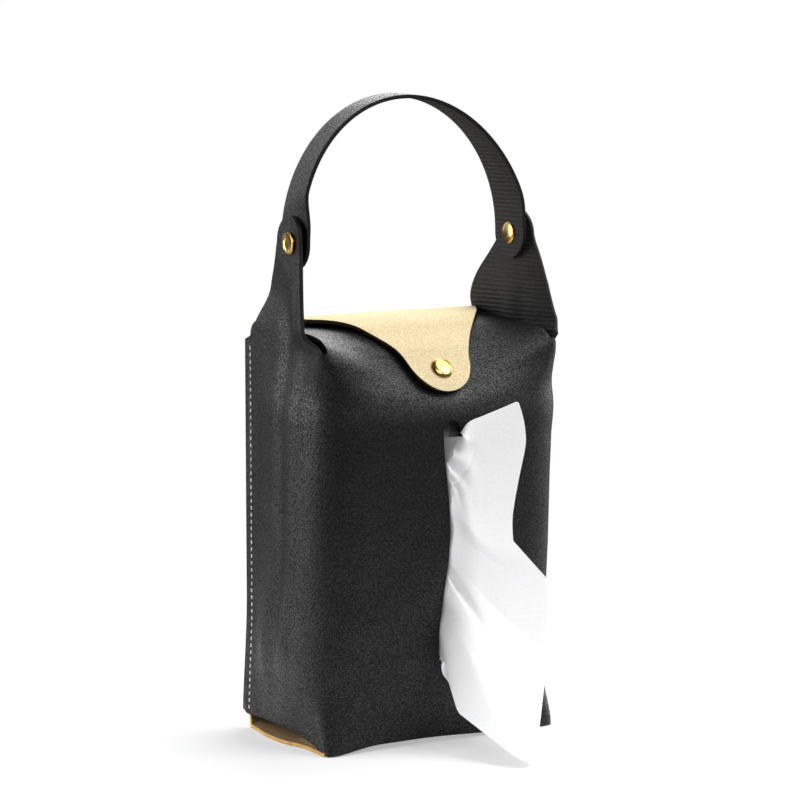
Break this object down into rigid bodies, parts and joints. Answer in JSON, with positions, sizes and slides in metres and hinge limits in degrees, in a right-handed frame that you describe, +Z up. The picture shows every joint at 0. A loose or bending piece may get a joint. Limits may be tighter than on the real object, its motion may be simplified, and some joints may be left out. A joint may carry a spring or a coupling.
{
  "type": "hanging tissue holder",
  "caption": "Standing or hanging leather tissue holder with a slotted front, a snap flap, two riveted ears and a strap handle, loaded with a soft tissue pack.",
  "frame": {"origin": "on the flat underside of the base, centred across the width, at mid-depth of the leather wrap", "axes": "+Z up, -Y out of the slotted front, +X to the viewer's right when looking at the front"},
  "size_m": [0.1388, 0.1406, 0.3086],
  "materials": {
    "black_leather": "semi-matt, fine pebble grain outside, fine ribs inside",
    "cream_leather": "matt, fine pebble grain, tan cut edge",
    "aged_brass": "polished",
    "white_thread": "twisted thread",
    "white_tissue": "soft matt",
    "clear_film": "clear film"
  },
  "bodies": {
    "holder": {"body_wrap": "black_leather", "back_base_panel": "cream_leather", "left_seam_thread": "white_thread", "right_seam_thread": "white_thread", "base_seam_thread": "white_thread", "left_rivet_outer": "aged_brass", "left_rivet_inner": "aged_brass", "right_rivet_outer": "aged_brass", "right_rivet_inner": "aged_brass", "snap_stud": "aged_brass", "snap_post": "aged_brass", "pack_film": "clear_film", "tissue_stack": "white_tissue", "pulled_tissue": "white_tissue"},
    "flap": {"top_flap": "cream_leather", "snap_cap": "aged_brass", "snap_socket": "aged_brass"},
    "handle": {"handle_strap": "black_leather"}
  },
  "joints": [
    {"name": "flap_fold", "type": "hinge", "parent": "holder", "child": "flap", "pos_m": [0, 0.03925, 0.19], "axis": [-1, 0, 0], "range_deg": [0, 180]},
    {"name": "handle_swing", "type": "hinge", "parent": "holder", "child": "handle", "pos_m": [0, -0.0062, 0.24], "axis": [1, 0, 0], "range_deg": [-90, 90]}
  ]
}
